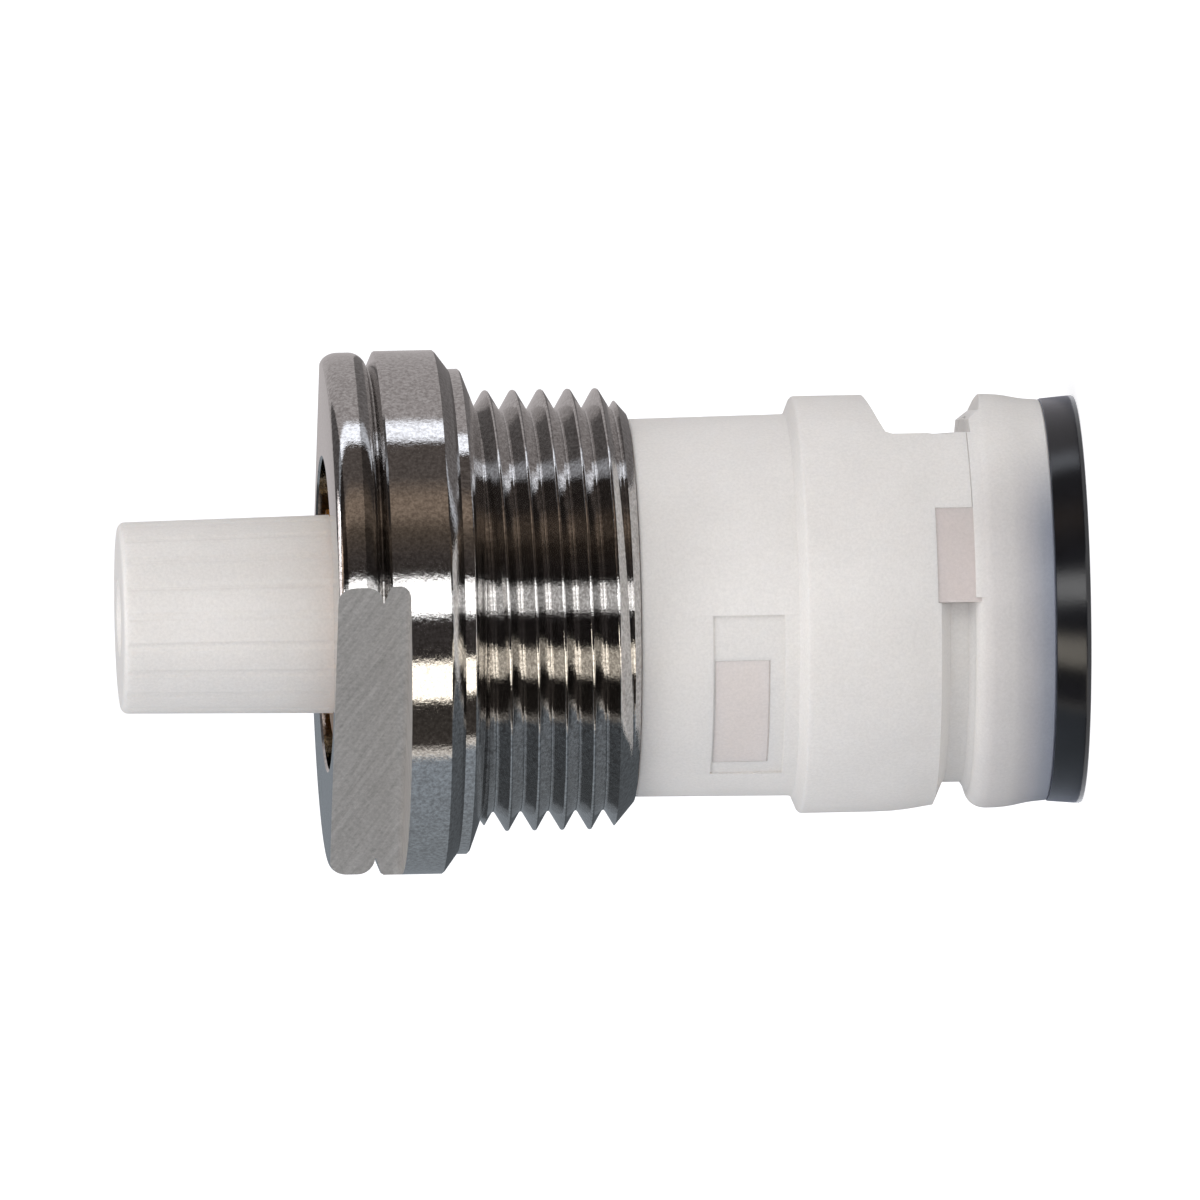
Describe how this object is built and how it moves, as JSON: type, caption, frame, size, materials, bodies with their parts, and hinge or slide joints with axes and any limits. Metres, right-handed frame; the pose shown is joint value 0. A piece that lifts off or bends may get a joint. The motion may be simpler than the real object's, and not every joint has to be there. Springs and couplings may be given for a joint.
{
  "type": "faucet stem",
  "caption": "Quarter-turn ceramic-disc faucet stem with splined handle stub, chromed threaded bonnet nut, moulded white cartridge body and black end seal.",
  "frame": {"origin": "centre of the end seal's outer face, on which the stem stands", "axes": "+Z along the stem towards the splined stub; +X through the middle of the outlet port"},
  "size_m": [0.0285, 0.0284, 0.0522],
  "materials": {
    "chrome_plated_brass": "turned brass with bright chrome plating, fine milling marks on the flats",
    "white_acetal": "injection-moulded acetal, satin, slightly translucent",
    "natural_acetal": "injection-moulded acetal, natural",
    "spring_bronze": "stamped spring bronze",
    "brass_sheet": "punched brass sheet",
    "stainless_sheet": "stamped and tumbled stainless steel",
    "alumina": "sintered alumina, lapped faces",
    "black_rubber": "moulded black nitrile rubber, smooth"
  },
  "bodies": {
    "housing": {"cartridge_body": "white_acetal", "neck_bushing": "natural_acetal", "neck_oring": "black_rubber", "end_ring": "white_acetal", "fixed_disc": "alumina", "support_ring": "stainless_sheet", "end_seal": "black_rubber"},
    "rotor": {"stem": "white_acetal", "retaining_clip": "spring_bronze", "clip_washer": "brass_sheet", "upper_stem_oring": "black_rubber", "lower_stem_oring": "black_rubber", "slip_washer": "stainless_sheet", "drive_carrier": "natural_acetal", "moving_disc": "alumina"},
    "nut": {"bonnet_nut": "chrome_plated_brass"}
  },
  "joints": [
    {"name": "stem_turn", "type": "hinge", "parent": "housing", "child": "rotor", "pos_m": [0, 0, 0.03], "axis": [0, 0, 1], "range_deg": [0, 90]},
    {"name": "nut_spin", "type": "hinge", "parent": "housing", "child": "nut", "pos_m": [0, 0, 0.0315], "axis": [0, 0, 1], "continuous": true}
  ]
}
